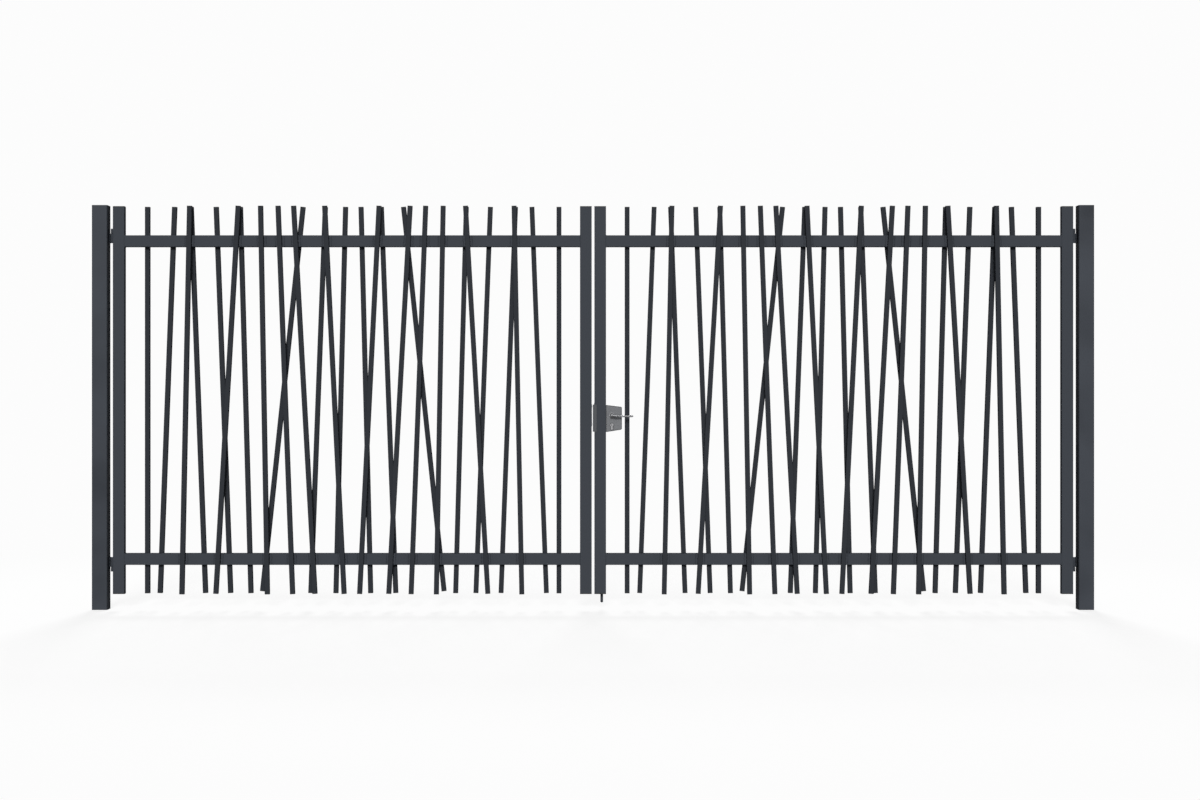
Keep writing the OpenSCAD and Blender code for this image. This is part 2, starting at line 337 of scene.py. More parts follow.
def finish_material(name, color, group, values, spread=0.12, bump=0.15, depth=0.0002, shine=None, **shader):
    """A Principled material whose colour, roughness and relief follow one of the shared groups.

    spread is how far the colour swings to either side, and shader holds the shader's own constants.
    """
    material = bpy.data.materials.new(name)
    material.use_nodes = True
    tree = material.node_tree
    surface = tree.nodes["Principled BSDF"]
    for label, value in shader.items():
        surface.inputs[label.replace("_", " ")].default_value = value
    if shine is not None:
        matt_edges(tree, surface, shine)
    effect = add(tree, "ShaderNodeGroup", node_tree=group)
    for label, value in values.items():
        effect.inputs[label].default_value = value
    darker = [channel * (1 - spread) for channel in color] + [1.0]
    lighter = [channel * (1 + spread) for channel in color] + [1.0]
    mix = add(
        tree, "ShaderNodeMix", {"Factor": effect.outputs["Shade"]}, data_type="RGBA", clamp_factor=True
    )
    socket_a, socket_b = [s for s in mix.inputs if s.type == "RGBA"][:2]
    socket_a.default_value = darker
    socket_b.default_value = lighter
    tree.links.new([s for s in mix.outputs if s.type == "RGBA"][0], surface.inputs["Base Color"])
    tree.links.new(effect.outputs["Roughness"], surface.inputs["Roughness"])
    relief = add(
        tree, "ShaderNodeBump", {"Height": effect.outputs["Height"], "Strength": bump, "Distance": depth}
    )
    tree.links.new(relief.outputs["Normal"], surface.inputs["Normal"])
    return material


class Finishes:
    """The gate's materials, made once."""

    def __init__(self, settings):
        grain = grain_group()
        hair = brushed_group()
        self.coat = finish_material(
            "fine textured anthracite coat", settings.coat, grain,
            {"Grain Scale": 1600, "Blotch Scale": 2.5, "Grain": 0.8, "Blotch": 0.5,
             "Roughness": settings.coat_roughness},
            spread=0.10, bump=0.35, depth=0.00025, shine=0.08,
        )
        # Painted shade: a darker copy of the frames' coat for the bars, standing in for the shade along their sides
        self.bar_coat_with_painted_shade = finish_material(
            "anthracite coat with painted shade", [channel * settings.bar_painted_shade for channel in settings.coat], grain,
            {"Grain Scale": 1600, "Blotch Scale": 2.5, "Grain": 0.8, "Blotch": 0.5,
             "Roughness": settings.coat_roughness},
            spread=0.10, bump=0.35, depth=0.00025, shine=0.08,
        )
        self.post_coat = finish_material(
            "smooth anthracite coat", settings.coat, grain,
            {"Grain Scale": 700, "Blotch Scale": 2.2, "Grain": 0.35, "Blotch": 2.4,
             "Roughness": settings.post_roughness},
            spread=0.25, bump=0.12, depth=0.0002, shine=0.06,
        )
        self.guard = finish_material(
            "lighter anthracite coat", settings.guard, grain,
            {"Grain Scale": 1600, "Blotch Scale": 9, "Grain": 0.8, "Blotch": 0.7,
             "Roughness": settings.coat_roughness - 0.1},
            spread=0.12, bump=0.3, depth=0.00025, shine=0.15,
        )
        self.plug = finish_material(
            "black moulded plastic", settings.plug, grain,
            {"Grain Scale": 2400, "Blotch Scale": 20, "Grain": 0.6, "Blotch": 0.4, "Roughness": 0.6},
            spread=0.2, bump=0.4, depth=0.0002, Specular_IOR_Level=0.3,
        )
        self.case = finish_material(
            "grey cast aluminium", settings.case, grain,
            {"Grain Scale": 900, "Blotch Scale": 30, "Grain": 1.0, "Blotch": 0.9, "Roughness": 0.5},
            spread=0.22, bump=0.35, depth=0.0003, Metallic=0.35,
        )
        # Painted shade: the case's sides and the rim round its covers are painted at half the case's grey, standing in
        # for the shade along the case's edges
        self.rim = finish_material(
            "cast rim with painted shade", [channel * 0.5 for channel in settings.case], grain,
            {"Grain Scale": 900, "Blotch Scale": 30, "Grain": 1.0, "Blotch": 0.9, "Roughness": 0.55},
            spread=0.2, bump=0.35, depth=0.0003, Metallic=0.2,
        )
        self.lever = finish_material(
            "satin silver", settings.lever, hair,
            {"X Lines": 40, "Y Lines": 1500, "Z Lines": 1500, "Roughness": 0.46, "Depth": 0.25},
            spread=0.12, bump=0.08, depth=0.0001, Metallic=1.0,
        )
        self.nickel = finish_material(
            "matt nickel", settings.nickel, hair,
            {"X Lines": 1500, "Y Lines": 60, "Z Lines": 1500, "Roughness": 0.36, "Depth": 0.2},
            spread=0.12, bump=0.06, depth=0.0001, Metallic=1.0,
        )
        self.zinc = finish_material(
            "dull zinc plate", settings.zinc, grain,
            {"Grain Scale": 500, "Blotch Scale": 60, "Grain": 0.5, "Blotch": 1.0, "Roughness": 0.45},
            spread=0.25, bump=0.15, depth=0.0002, Metallic=0.9,
        )
        # Painted shade: near black for the inside of the key way, standing in for the shade in the slot of the nickel
        # plug
        self.dark = finish_material(
            "key way with painted shade", (0.004, 0.004, 0.004), grain,
            {"Grain Scale": 1200, "Blotch Scale": 50, "Grain": 0.3, "Blotch": 0.3, "Roughness": 0.8},
            spread=0.1, bump=0.1, Specular_IOR_Level=0.1,
        )


finishes = None


def coat_node(name, material):
    """Gives a CAD node one material in all of its slots."""
    mesh = NODES[name].data
    if not mesh.materials:
        mesh.materials.append(material)
    for index in range(len(mesh.materials)):
        mesh.materials[index] = material


def round_edges(name, width, segments=2):
    """Rounds a CAD node's sharp edges with live modifiers: its mesh isn't changed."""
    node = NODES[name]
    weld = node.modifiers.new("join", "WELD")
    weld.merge_threshold = 1e-5
    bevel = node.modifiers.new("round", "BEVEL")
    bevel.limit_method = "ANGLE"
    bevel.angle_limit = math.radians(40)
    bevel.width = width
    bevel.segments = segments
    bevel.harden_normals = False


# ---------------------------------------------------------------- Geometry Nodes


def geometry_group(name, sockets):
    """A Geometry Nodes tree with a Geometry input and output and named inputs {name: (type, default)}."""
    tree = bpy.data.node_groups.new(name, "GeometryNodeTree")
    tree.interface.new_socket("Geometry", in_out="INPUT", socket_type="NodeSocketGeometry")
    for label, (kind, default) in sockets.items():
        socket = tree.interface.new_socket(label, in_out="INPUT", socket_type=kind)
        if default is not None:
            socket.default_value = default
    tree.interface.new_socket("Geometry", in_out="OUTPUT", socket_type="NodeSocketGeometry")
    return tree


def end_tree(tree, geometry, material):
    """Realizes the instances, sets their material and ends the tree."""
    real = add(tree, "GeometryNodeRealizeInstances", {"Geometry": geometry})
    smooth = add(tree, "GeometryNodeSetShadeSmooth", {"Geometry": real.outputs[0]})
    dressed = add(tree, "GeometryNodeSetMaterial", {"Geometry": smooth.outputs[0], "Material": material})
    end = add(tree, "NodeGroupOutput")
    tree.links.new(dressed.outputs[0], end.inputs[0])


def bead_tree():
    """Weld beads: overlapping ripples along every edge of the mesh that comes in."""
    tree = geometry_group("Weld beads", {
        "Bead Radius": ("NodeSocketFloat", 0.002),
        "Ripple Pitch": ("NodeSocketFloat", 0.004),
        "Seed": ("NodeSocketInt", 0),
        "Material": ("NodeSocketMaterial", None),
    })
    entry = add(tree, "NodeGroupInput").outputs
    seams = add(tree, "GeometryNodeMeshToCurve", {"Mesh": entry["Geometry"]})
    steps = add(
        tree, "GeometryNodeCurveToPoints", {"Curve": seams.outputs[0], "Length": entry["Ripple Pitch"]},
        mode="LENGTH",
    )
    ripple = add(tree, "GeometryNodeMeshUVSphere", {"Segments": 8, "Rings": 5, "Radius": 1.0})
    length = math_node(tree, "MULTIPLY", entry["Ripple Pitch"], 0.85)
    size = add(tree, "ShaderNodeCombineXYZ", {"X": entry["Bead Radius"], "Y": entry["Bead Radius"], "Z": length})
    uneven = add(
        tree, "FunctionNodeRandomValue", {"Seed": entry["Seed"]}, data_type="FLOAT",
    )
    low, high = [s for s in uneven.inputs if s.name in ("Min", "Max") and s.type == "VALUE"][:2]
    low.default_value = 0.86
    high.default_value = 1.14
    spread = [s for s in uneven.outputs if s.type == "VALUE"][0]
    scaled = add(
        tree, "ShaderNodeVectorMath", {0: size.outputs[0], "Scale": spread}, operation="SCALE"
    ).outputs[0]
    beads = add(tree, "GeometryNodeInstanceOnPoints", {
        "Points": steps.outputs["Points"],
        "Instance": ripple.outputs["Mesh"],
        "Rotation": steps.outputs["Rotation"],
        "Scale": scaled,
    })
    end_tree(tree, beads.outputs[0], entry["Material"])
    return tree


def screw_tree():
    """Button-head screws with a hexagon socket, on points that carry the direction they face."""
    tree = geometry_group("Button-head screws", {
        "Head Radius": ("NodeSocketFloat", 0.004),
        "Head Height": ("NodeSocketFloat", 0.001),
        "Material": ("NodeSocketMaterial", None),
    })
    entry = add(tree, "NodeGroupInput").outputs
    rim = math_node(tree, "MULTIPLY", entry["Head Radius"], 0.74)
    head = add(tree, "GeometryNodeMeshCone", {
        "Vertices": 28, "Radius Top": rim, "Radius Bottom": entry["Head Radius"], "Depth": entry["Head Height"],
    })
    hexagon = add(tree, "GeometryNodeMeshCylinder", {
        "Vertices": 6,
        "Radius": math_node(tree, "MULTIPLY", entry["Head Radius"], 0.42),
        "Depth": entry["Head Height"],
    })
    lift = math_node(tree, "MULTIPLY", entry["Head Height"], 0.8)
    raised = add(tree, "GeometryNodeTransform", {
        "Geometry": hexagon.outputs["Mesh"],
        "Translation": add(tree, "ShaderNodeCombineXYZ", {"Z": lift}).outputs[0],
    })
    cut = add(tree, "GeometryNodeMeshBoolean", operation="DIFFERENCE")
    tree.links.new(head.outputs["Mesh"], cut.inputs["Mesh 1"])
    tree.links.new(raised.outputs[0], cut.inputs["Mesh 2"])
    facing = add(tree, "GeometryNodeInputNamedAttribute", {"Name": "facing"}, data_type="FLOAT_VECTOR")
    vector = [s for s in facing.outputs if s.type == "VECTOR"][0]
    turn = add(tree, "FunctionNodeAlignRotationToVector", {"Vector": vector}, axis="Z")
    points = add(tree, "GeometryNodeMeshToPoints", {"Mesh": entry["Geometry"]})
    screws = add(tree, "GeometryNodeInstanceOnPoints", {
        "Points": points.outputs[0],
        "Instance": cut.outputs["Mesh"],
        "Rotation": turn.outputs[0],
    })
    real = add(tree, "GeometryNodeRealizeInstances", {"Geometry": screws.outputs[0]})
    dressed = add(tree, "GeometryNodeSetMaterial", {"Geometry": real.outputs[0], "Material": entry["Material"]})
    end = add(tree, "NodeGroupOutput")
    tree.links.new(dressed.outputs[0], end.inputs[0])
    return tree


def grow(name, guide, tree, values, body):
    """Runs a tree on a guide mesh and keeps the result as a plain mesh that rides on a body."""
    source = bpy.data.objects.new(name + ".guide", guide)
    bpy.context.scene.collection.objects.link(source)
    modifier = source.modifiers.new("grow", "NODES")
    modifier.node_group = tree
    for item in tree.interface.items_tree:
        if item.in_out == "INPUT" and item.name in values:
            modifier[item.identifier] = values[item.name]
    bpy.context.view_layer.update()
    graph = bpy.context.evaluated_depsgraph_get()
    mesh = bpy.data.meshes.new_from_object(source.evaluated_get(graph))
    if not mesh.polygons:
        raise RuntimeError(name + " came out empty")
    bpy.data.objects.remove(source)
    piece = bpy.data.objects.new(name, mesh)
    bpy.context.scene.collection.objects.link(piece)
    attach(piece, body)
    return piece


# ---------------------------------------------------------------- mesh helpers


def new_piece(name, bm, material, body, smooth=True):
    """Turns a bmesh into a finished piece at the origin that rides on a body."""
    bmesh.ops.recalc_face_normals(bm, faces=bm.faces)
    mesh = bpy.data.meshes.new(name)
    bm.to_mesh(mesh)
    bm.free()
    for polygon in mesh.polygons:
        polygon.use_smooth = smooth
    if not mesh.materials:
        mesh.materials.append(material)
    piece = bpy.data.objects.new(name, mesh)
    bpy.context.scene.collection.objects.link(piece)
    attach(piece, body)
    return piece


def bevelled(piece, width, segments=2):
    """Rounds a piece's sharp edges."""
    bevel = piece.modifiers.new("round", "BEVEL")
    bevel.limit_method = "ANGLE"
    bevel.angle_limit = math.radians(40)
    bevel.width = width
    bevel.segments = segments


def loft(rings, bm=None):
    """A closed shell through rings of equally many points, with a fan at both ends, in a bmesh."""
    bm = bm or bmesh.new()
    loops = [[bm.verts.new(point) for point in ring] for ring in rings]
    count = len(loops[0])
    for near, far in zip(loops, loops[1:]):
        for index in range(count):
            after = (index + 1) % count
            bm.faces.new((near[index], near[after], far[after], far[index]))
    for ring in (loops[0], loops[-1]):
        middle = bm.verts.new(sum((v.co for v in ring), Vector()) / count)
        for index in range(count):
            bm.faces.new((ring[index], ring[(index + 1) % count], middle))
    return bm


# ---------------------------------------------------------------- places from the frame


def middle(node):
    """The middle of a CAD node's box."""
    low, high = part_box(node)
    return (Vector(low) + Vector(high)) / 2


def clusters(values, gap):
    """(lowest, highest) of each run of values whose neighbours are closer than gap."""
    ordered = sorted(values)
    runs = [[ordered[0], ordered[0]]]
    for value in ordered[1:]:
        if value - runs[-1][1] > gap:
            runs.append([value, value])
        else:
            runs[-1][1] = value
    return runs


def bar_lines(node):
    """((x, z) of the foot, (x, z) of the head) of each bar's middle line in a layer, from the node's own mesh."""
    low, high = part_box(node)
    half_height = (low[2] + high[2]) / 2
    corners = [vertex.co for vertex in NODES[node].data.vertices]
    gap = (high[1] - low[1]) * 0.6
    heads = clusters([co.x for co in corners if co.z > half_height], gap)
    feet = clusters([co.x for co in corners if co.z < half_height], gap)
    if len(heads) != len(feet):
        raise RuntimeError(node + ": heads and feet of the bars don't pair up")
    return [((sum(f) / 2, low[2]), (sum(h) / 2, high[2])) for f, h in zip(feet, heads)]


def along(line, z):
    """X of a bar's middle line at a height."""
    (foot_x, foot_z), (head_x, head_z) = line
    return foot_x + (head_x - foot_x) * (z - foot_z) / (head_z - foot_z)


def seam_mesh(name, seams):
    """A mesh with one edge for each seam, a pair of points."""
    points = [point for seam in seams for point in seam]
    mesh = bpy.data.meshes.new(name)
    mesh.from_pydata(points, [(i, i + 1) for i in range(0, len(points), 2)], [])
    return mesh


def bar_seams(side):
    """Seams on both sides of every bar, where it lies on the rails."""
    seams = []
    for layer, facing in (("front", FRONT), ("rear", REAR)):
        node = side + "_" + layer + "_bars"
        low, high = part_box(node)
        reach = (high[1] - low[1]) / 2 - 0.0005
        for rail in ("_top_rail", "_bottom_rail"):
            rail_low, rail_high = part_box(side + rail)
            face_y = rail_low[1] if facing == FRONT else rail_high[1]
            foot, head = rail_low[2] + 0.004, rail_high[2] - 0.004
            for line in bar_lines(node):
                for edge in (-reach, reach):
                    seams.append(((along(line, foot) + edge, face_y, foot), (along(line, head) + edge, face_y, head)))
    return seams


def rail_seams(side):
    """Seams over and under each rail, where it meets the stiles."""
    seams = []
    for rail in ("_top_rail", "_bottom_rail"):
        low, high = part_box(side + rail)
        for x in (low[0], high[0]):
            for z in (low[2], high[2]):
                seams.append(((x, low[1] + 0.005, z), (x, high[1] - 0.005, z)))
    return seams


def outline_seams(low, high, axis, at, sides):
    """Seams along the named sides of a plate that lies flat on a face: axis is the face's normal axis."""
    across, up = [index for index in (0, 1, 2) if index != axis]
    seams = []

    def corner(a, b):
        point = [0.0, 0.0, 0.0]
        point[axis] = at
        point[across] = a
        point[up] = b
        return tuple(point)

    if "low" in sides:
        seams.append((corner(low[across], low[up]), corner(low[across], high[up])))
    if "high" in sides:
        seams.append((corner(high[across], low[up]), corner(high[across], high[up])))
    if "under" in sides:
        seams.append((corner(low[across], low[up]), corner(high[across], low[up])))
    if "over" in sides:
        seams.append((corner(low[across], high[up]), corner(high[across], high[up])))
    return seams


def eye_seams(side):
    """Seams round the straps of a leaf's two hinge eyes, on the back of its hinge stile."""
    stile_low, stile_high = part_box(side + "_hinge_stile")
    back = stile_high[1]
    seams = []
    for eye in (side + "_upper_eye", side + "_lower_eye"):
        low, high = [list(corner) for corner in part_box(eye)]
        low[0] = max(low[0], stile_low[0] + 0.004)
        high[0] = min(high[0], stile_high[0] - 0.004)
        far = "high" if side == "left" else "low"
        seams += outline_seams(low, high, 1, back, ("under", "over", far))
    return seams


def pintle_seams():
    """Seams round the base plates of the hinge pintles, on the posts' inner faces."""
    seams = []
    for name in PINTLES:
        low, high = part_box(name)
        side = name.split("_")[0]
        post_low, post_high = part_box(side + "_post")
        face = post_high[0] if side == "left" else post_low[0]
        plate = plate_heights(name, face)
        seams += outline_seams(
            (0, low[1], plate[0]), (0, high[1] - 0.008, plate[1]), 0, face, ("low", "under", "over")
        )
    return seams


def plate_heights(name, face):
    """Lowest and highest point of the vertices of a pintle that lie on its post."""
    heights = [vertex.co.z for vertex in NODES[name].data.vertices if abs(vertex.co.x - face) < 1e-4]
    return min(heights), max(heights)


def guide_seams():
    """Seams down both sides of the drop bolt's guides."""
    low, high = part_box("drop_bolt_guides")
    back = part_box("right_meeting_stile")[1][1]
    runs = clusters([vertex.co.z for vertex in NODES["drop_bolt_guides"].data.vertices], 0.05)
    return [((x, back, foot), (x, back, head)) for foot, head in runs for x in (low[0], high[0])]


# ---------------------------------------------------------------- operators


class GATE_OT_coat_steelwork(bpy.types.Operator):
    """Coats the posts, frames, bars and hinges"""

    bl_idname = "gate.coat_steelwork"
    bl_label = "Coat Steelwork"

    def execute(self, context):
        for body in frame["record"]["behaviour"]["bodies"].values():
            for name in body:
                coat_node(name, finishes.coat)
        for name in POST_NODES:
            coat_node(name, finishes.post_coat)
        # The bars get the darker copy of the coat, which is painted shade
        for name in BAR_NODES:
            coat_node(name, finishes.bar_coat_with_painted_shade)
        edge = context.scene.gate.shape.edge_round
        for name in ("left_cap", "right_cap") + EYES + PINTLES + ("drop_bolt_guides",):
            round_edges(name, edge * 0.7)
        return {"FINISHED"}


class GATE_OT_fit_plugs(bpy.types.Operator):
    """Finishes the plastic plugs in the tube ends"""

    bl_idname = "gate.fit_plugs"
    bl_label = "Fit Plugs"

    def execute(self, context):
        for name in NODES:
            if name.endswith("plugs"):
                coat_node(name, finishes.plug)
                round_edges(name, context.scene.gate.shape.plug_round)
        return {"FINISHED"}


class GATE_OT_lay_welds(bpy.types.Operator):
    """Lays the weld beads of the leaves, hinges and guides"""

    bl_idname = "gate.lay_welds"
    bl_label = "Lay Welds"

    def execute(self, context):
        shape = context.scene.gate.shape
        tree = bead_tree()
        values = {
            "Bead Radius": shape.bead_radius,
            "Ripple Pitch": shape.bead_pitch,
            "Seed": shape.bead_seed,
            "Material": finishes.coat,
        }
        jobs = {
            "left_leaf": bar_seams("left") + rail_seams("left") + eye_seams("left"),
            "right_leaf": bar_seams("right") + rail_seams("right") + eye_seams("right") + guide_seams(),
            "posts": pintle_seams(),
        }
        for body, seams in jobs.items():
            grow(body + "_welds", seam_mesh(body, seams), tree, values, body)
        return {"FINISHED"}


class GATE_OT_drive_screws(bpy.types.Operator):
    """Drives the screws of the keep plate and the bolt plate"""

    bl_idname = "gate.drive_screws"
    bl_label = "Drive Screws"

    def execute(self, context):
        shape = context.scene.gate.shape
        tree = screw_tree()
        jobs = {"left_leaf": [], "right_leaf": []}
        for plate, body, axis, facing in (
            ("keep_plate", "left_leaf", 0, (1, 0, 0)),
            ("bolt_plate", "right_leaf", 0, (-1, 0, 0)),
        ):
            low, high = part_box(plate)
            for z in (low[2] + 0.012, high[2] - 0.012):
                point = list(middle(plate))
                point[axis] = (high if facing[axis] > 0 else low)[axis]
                point[2] = z
                jobs[body].append((tuple(point), facing))
        for body, screws in jobs.items():
            mesh = bpy.data.meshes.new(body)
            mesh.from_pydata([point for point, _ in screws], [], [])
            attribute = mesh.attributes.new("facing", "FLOAT_VECTOR", "POINT")
            for item, (_, facing) in zip(attribute.data, screws):
                item.vector = facing
            values = {
                "Head Radius": shape.head_radius,
                "Head Height": shape.head_height,
                "Material": finishes.zinc,
            }
            grow(body + "_screws", mesh, tree, values, body)
        return {"FINISHED"}


class GATE_OT_dress_lock(bpy.types.Operator):
    """Finishes the lock case, its covers, the key cylinder and the edge plates"""

    bl_idname = "gate.dress_lock"
    bl_label = "Dress Lock"

    def execute(self, context):
        shape = context.scene.gate.shape
        # The whole case gets the darker painted-shade grey; the cover plates on its faces show the plain case grey
        coat_node("lock_case", finishes.rim)
        coat_node("lock_cylinder", finishes.nickel)
        coat_node("lever_roses", finishes.lever)
        coat_node("latch_guard", finishes.guard)
        for name in ("keep_plate", "bolt_plate"):
            coat_node(name, finishes.zinc)
        round_edges("lock_case", shape.edge_round * 1.6, 3)
        round_edges("lock_cylinder", 0.0006)
        round_edges("lever_roses", 0.0010, 3)
        round_edges("latch_guard", shape.edge_round)
        round_edges("keep_plate", 0.0006)
        round_edges("bolt_plate", 0.0006)
        for facing, word in ((FRONT, "front"), (REAR, "rear")):
            self.cover(facing, word, shape)
            self.key_way(facing, word)
        self.latch(shape)
        return {"FINISHED"}

    def cover(self, facing, word, shape):
        """A thin cover plate that follows the case's outline and leaves its holes free."""
        bm = bmesh.new()
        bm.from_mesh(NODES["lock_case"].data)
        bmesh.ops.remove_doubles(bm, verts=bm.verts, dist=1e-5)
        bm.normal_update()
        others = [face for face in bm.faces if face.normal.y * facing < 0.99]
        bmesh.ops.delete(bm, geom=others, context="FACES")
        inset = bmesh.ops.inset_region(
            bm, faces=bm.faces, thickness=shape.cover_inset, use_boundary=True, use_even_offset=True
        )
        bmesh.ops.delete(bm, geom=inset["faces"], context="FACES")
        raised = bmesh.ops.extrude_face_region(bm, geom=bm.faces[:])
        moved = [item for item in raised["geom"] if isinstance(item, bmesh.types.BMVert)]
        bmesh.ops.translate(bm, verts=moved, vec=(0, facing * shape.cover_height, 0))
        # The plate carries the case's own grey; the rim it leaves free keeps the painted shade
        plate = new_piece("lock_cover_" + word, bm, finishes.case, "right_leaf", smooth=False)
        bevelled(plate, shape.cover_height * 0.5)

    def key_way(self, facing, word):
        """The turning plug of the key cylinder, with its key way cut through the face."""
        low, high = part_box("lock_cylinder")
        centre = middle("lock_cylinder")
        radius = (high[0] - low[0]) / 2
        face = high[1] if facing == REAR else low[1]
        origin = Vector((centre.x, face, high[2] - radius))
        bm = bmesh.new()
        outer = radius * 0.76
        slot_half, slot_reach = 0.0011, 0.0042
        ring = []
        slot = []
        steps = 40
        for index in range(steps):
            angle = 2 * math.pi * index / steps
            direction = (math.cos(angle), math.sin(angle))
            ring.append((direction[0] * outer, direction[1] * outer))
            reach = min(
                slot_half / max(abs(direction[0]), 1e-6),
                slot_reach / max(abs(direction[1]), 1e-6),
            )
            slot.append((direction[0] * reach, direction[1] * reach))
        depths = ((ring, 0.0), (ring, 0.0007), (slot, 0.0007), (slot, -0.0030))
        loops = []
        for points, out in depths:
            loops.append([
                bm.verts.new((origin.x + x, origin.y + facing * out, origin.z + z)) for x, z in points
            ])
        for near, far in zip(loops, loops[1:]):
            for index in range(steps):
                after = (index + 1) % steps
                bm.faces.new((near[index], near[after], far[after], far[index]))
        for loop in (loops[0], loops[-1]):
            bm.faces.new(loop)
        piece = new_piece("key_plug_" + word, bm, finishes.nickel, "right_leaf", smooth=False)
        # The slot's inner faces get the near-black painted shade in place of nickel
        piece.data.materials.append(finishes.dark)
        for polygon in piece.data.polygons:
            inside = all(
                abs(piece.data.vertices[v].co.x - origin.x) < slot_half * 1.01 for v in polygon.vertices
            )
            if inside:
                polygon.material_index = 1

    def latch(self, shape):
        """The face of the drawn-back latch in the bolt plate."""
        low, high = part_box("bolt_plate")
        centre = middle("bolt_plate")
        bm = bmesh.new()
        bmesh.ops.create_cube(bm, size=1)
        bmesh.ops.scale(bm, verts=bm.verts, vec=(0.0030, 0.0125, 0.0300))
        bmesh.ops.translate(bm, verts=bm.verts, vec=(low[0] + 0.0009, centre.y, centre.z))
        nose = new_piece("latch_nose", bm, finishes.zinc, "right_leaf", smooth=False)
        bevelled(nose, 0.0006, 3)


class GATE_OT_shape_levers(bpy.types.Operator):
    """Shapes the two levers: a round neck that bends into an oval arm"""

    bl_idname = "gate.shape_levers"
    bl_label = "Shape Levers"

    def execute(self, context):
        coat_node("lever_spindle", finishes.zinc)
        for node, facing in (("outer_lever", FRONT), ("inner_lever", REAR)):
            self.lever(node, facing)
        return {"FINISHED"}

    def lever(self, node, facing):
        """One lever inside the CAD lever's box: a domed neck, and an arm out of its side."""
        low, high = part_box(node)
        spindle = middle("lever_spindle")
        reach = abs(high[1] if facing == REAR else low[1])
        start = abs(low[1] if facing == REAR else high[1])
        neck = spindle.x - low[0]
        arm = Vector((neck * 0.62, neck * 0.60))
        drop = 0.005
        neck_rings = [
            self.ring(
                Vector((spindle.x, facing * (start + (reach - start) * share), spindle.z)),
                Vector((1, 0, 0)), neck * size, neck * size,
            )
            for share, size in ((0.0, 1.0), (0.1, 0.99), (0.5, 0.92), (0.88, 0.94), (0.96, 0.86), (1.0, 0.55))
        ]
        arm_rings = []
        for share, size in ((0.0, 1.1), (0.12, 1.0), (0.5, 0.94), (0.9, 0.96), (0.965, 0.84), (0.99, 0.58), (1.0, 0.3)):
            centre = Vector((
                spindle.x + (high[0] - spindle.x) * share,
                facing * (reach - arm.x),
                spindle.z - drop * min(1.0, share * 4),
            ))
            arm_rings.append(self.ring(centre, Vector((0, 1, 0)), arm.x * min(size, 1.0), arm.y * size))
        shell = loft(arm_rings, loft(neck_rings))
        piece = new_piece(node + "_form", shell, finishes.lever, "lever")
        smooth = piece.modifiers.new("smooth", "SUBSURF")
        smooth.levels = smooth.render_levels = 1
        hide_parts(node)

    def ring(self, centre, aside, wide, tall, sides=24):
        """An upright oval round a centre, as a list of points."""
        turns = (2 * math.pi * index / sides for index in range(sides))
        return [centre + aside * wide * math.cos(turn) + Vector((0, 0, tall * math.sin(turn))) for turn in turns]


class GATE_OT_dress_drop_bolt(bpy.types.Operator):
    """Finishes the drop bolt and puts a plastic cap on its handle"""

    bl_idname = "gate.dress_drop_bolt"
    bl_label = "Dress Drop Bolt"

    def execute(self, context):
        coat_node("drop_bolt_rod", finishes.coat)
        round_edges("drop_bolt_rod", 0.0008)
        low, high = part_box("drop_bolt_rod")
        rod_x = middle("drop_bolt_rod").x
        radius = 0.0086
        length = 0.030
        handle_z = high[2] - 0.007
        profile = ((0.0, 0.94), (0.0008, 1.0), (length * 0.8, 1.0), (length - 0.0015, 0.9), (length, 0.55))
        rings = []
        sides = 28
        for out, size in profile:
            rings.append([
                (
                    rod_x + radius * size * math.cos(2 * math.pi * index / sides),
                    high[1] - length + 0.002 + out,
                    handle_z + radius * size * math.sin(2 * math.pi * index / sides),
                )
                for index in range(sides)
            ])
        new_piece("drop_bolt_grip", loft(rings), finishes.plug, "drop_bolt")
        return {"FINISHED"}


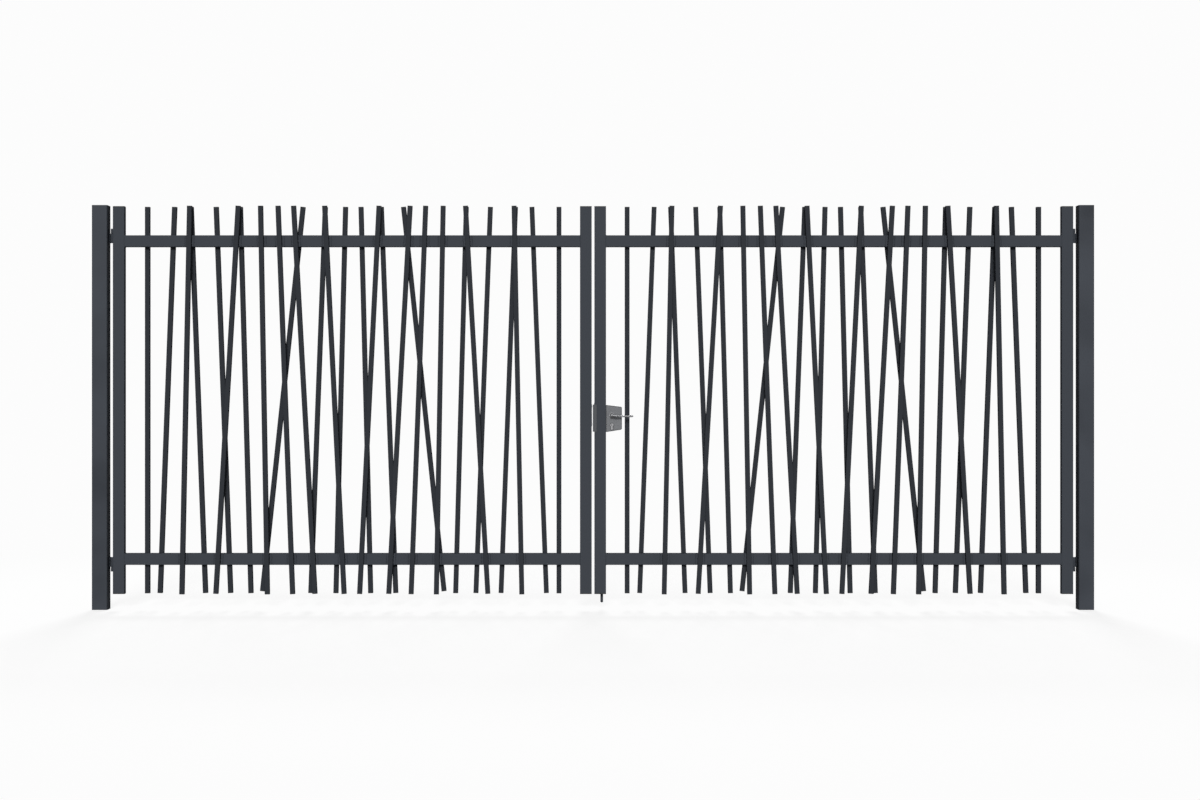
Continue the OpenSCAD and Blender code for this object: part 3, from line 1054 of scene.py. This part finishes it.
class GATE_OT_set_stage(bpy.types.Operator):
    """Sets the floor, the backdrop, the lamps and the camera"""

    bl_idname = "gate.set_stage"
    bl_label = "Set Stage"

    def execute(self, context):
        settings = context.scene.gate.stage
        low, high = (Vector(corner) for corner in CAD_BOX)
        centre = (low + high) / 2
        self.floor(centre, settings)
        self.backdrop(context.scene, settings)
        self.lamps(context.scene, settings)
        self.camera(context.scene, centre, low, settings)
        context.scene.view_settings.view_transform = "Standard"
        return {"FINISHED"}

    def seen(self, tree, factor):
        """A factor that counts only where camera, glossy and transmission rays look."""
        rays = add(tree, "ShaderNodeLightPath").outputs
        looks = math_node(tree, "MAXIMUM", rays["Is Camera Ray"], rays["Is Glossy Ray"])
        looks = math_node(tree, "MAXIMUM", looks, rays["Is Transmission Ray"])
        return math_node(tree, "MULTIPLY", looks, factor)

    def floor(self, centre, settings):
        """A wide pale floor that shows as white, with the gate's faint shadow."""
        bm = bmesh.new()
        bmesh.ops.create_grid(bm, x_segments=1, y_segments=1, size=60)
        mesh = bpy.data.meshes.new("floor")
        bm.to_mesh(mesh)
        bm.free()
        ground = bpy.data.objects.new("floor", mesh)
        ground.location = (centre.x, 0, 0)
        bpy.context.scene.collection.objects.link(ground)
        material = bpy.data.materials.new("pale floor")
        material.use_nodes = True
        tree = material.node_tree
        plain = tree.nodes["Principled BSDF"]
        plain.inputs["Base Color"].default_value = (0.30, 0.30, 0.30, 1)
        plain.inputs["Roughness"].default_value = 0.9
        plain.inputs["Specular IOR Level"].default_value = 0.0
        fill = add(tree, "ShaderNodeEmission", {"Strength": self.seen(tree, settings.floor_fill)})
        near = add(tree, "ShaderNodeAddShader", {0: plain.outputs[0], 1: fill.outputs[0]})
        white = add(tree, "ShaderNodeEmission", {"Color": WHITE, "Strength": 1.0})
        place = add(tree, "ShaderNodeTexCoord").outputs["Object"]
        distance = add(tree, "ShaderNodeVectorMath", {0: place}, operation="LENGTH").outputs["Value"]
        far = add(
            tree, "ShaderNodeMapRange", {"Value": distance, "From Min": 3.0, "From Max": 5.5},
            interpolation_type="SMOOTHSTEP",
        ).outputs[0]
        mix = add(
            tree, "ShaderNodeMixShader", {0: self.seen(tree, far), 1: near.outputs[0], 2: white.outputs[0]}
        )
        tree.links.new(mix.outputs[0], tree.nodes["Material Output"].inputs["Surface"])
        mesh.materials.append(material)

    def backdrop(self, scene, settings):
        """A world that lights softly and shows as white."""
        world = bpy.data.worlds.new("studio")
        scene.world = world
        world.use_nodes = True
        tree = world.node_tree
        soft = tree.nodes["Background"]
        soft.inputs["Color"].default_value = (1, 1, 1, 1)
        soft.inputs["Strength"].default_value = settings.sky
        white = add(tree, "ShaderNodeBackground", {"Color": WHITE, "Strength": 1.0})
        share = self.seen(tree, 1.0)
        mix = add(tree, "ShaderNodeMixShader", {0: share, 1: soft.outputs[0], 2: white.outputs[0]})
        tree.links.new(mix.outputs[0], tree.nodes["World Output"].inputs["Surface"])

    def lamps(self, scene, settings):
        """A broad distant lamp in front and a weaker one behind, so that the back is lit as well."""
        for name, tilt, turn, strength in (
            ("front lamp", 72, 0, settings.lamp_strength),
            ("rear lamp", 60, 180, settings.lamp_strength * 0.75),
        ):
            lamp = bpy.data.lights.new(name, "SUN")
            lamp.energy = strength
            lamp.angle = math.radians(14)
            holder = bpy.data.objects.new(name, lamp)
            holder.rotation_euler = (math.radians(tilt), 0, math.radians(turn))
            scene.collection.objects.link(holder)

    def camera(self, scene, centre, low, settings):
        """A level camera in front of the gate."""
        camera = bpy.data.cameras.new("camera")
        camera.lens = settings.lens
        camera.sensor_width = 36
        camera.clip_end = 200
        holder = bpy.data.objects.new("camera", camera)
        holder.location = (centre.x + settings.side_step, -settings.distance, settings.eye_height)
        holder.rotation_euler = (math.pi / 2, 0, 0)
        scene.collection.objects.link(holder)
        scene.camera = holder


# ---------------------------------------------------------------- panel and registration


OPERATORS = (
    GATE_OT_coat_steelwork,
    GATE_OT_fit_plugs,
    GATE_OT_lay_welds,
    GATE_OT_drive_screws,
    GATE_OT_dress_lock,
    GATE_OT_shape_levers,
    GATE_OT_dress_drop_bolt,
    GATE_OT_set_stage,
)


class GATE_PT_sidebar(bpy.types.Panel):
    """Lists the gate's operators and settings"""

    bl_idname = "GATE_PT_sidebar"
    bl_label = "Swing Gate"
    bl_space_type = "VIEW_3D"
    bl_region_type = "UI"
    bl_category = "Gate"

    def draw(self, context):
        gate = context.scene.gate
        for group in (gate.finish, gate.shape, gate.stage):
            box = self.layout.box()
            for name in group.bl_rna.properties.keys():
                if name not in ("rna_type", "name"):
                    box.prop(group, name)
        for operator in OPERATORS:
            self.layout.operator(operator.bl_idname)


CLASSES = (
    GateFinishSettings,
    GateShapeSettings,
    GateStageSettings,
    GateSettings,
) + OPERATORS + (GATE_PT_sidebar,)


def register():
    for cls in CLASSES:
        bpy.utils.register_class(cls)
    bpy.types.Scene.gate = PointerProperty(type=GateSettings)


def unregister():
    del bpy.types.Scene.gate
    for cls in reversed(CLASSES):
        bpy.utils.unregister_class(cls)


def run(operator):
    """Runs one operator and stops the script if it didn't finish."""
    group, name = operator.bl_idname.split(".")
    if getattr(getattr(bpy.ops, group), name)() != {"FINISHED"}:
        raise RuntimeError(operator.bl_idname + " didn't finish")


def main():
    """Builds the looks."""
    global finishes
    register()
    finishes = Finishes(bpy.context.scene.gate.finish)
    for operator in OPERATORS:
        run(operator)


if __name__ == "__main__":
    main()
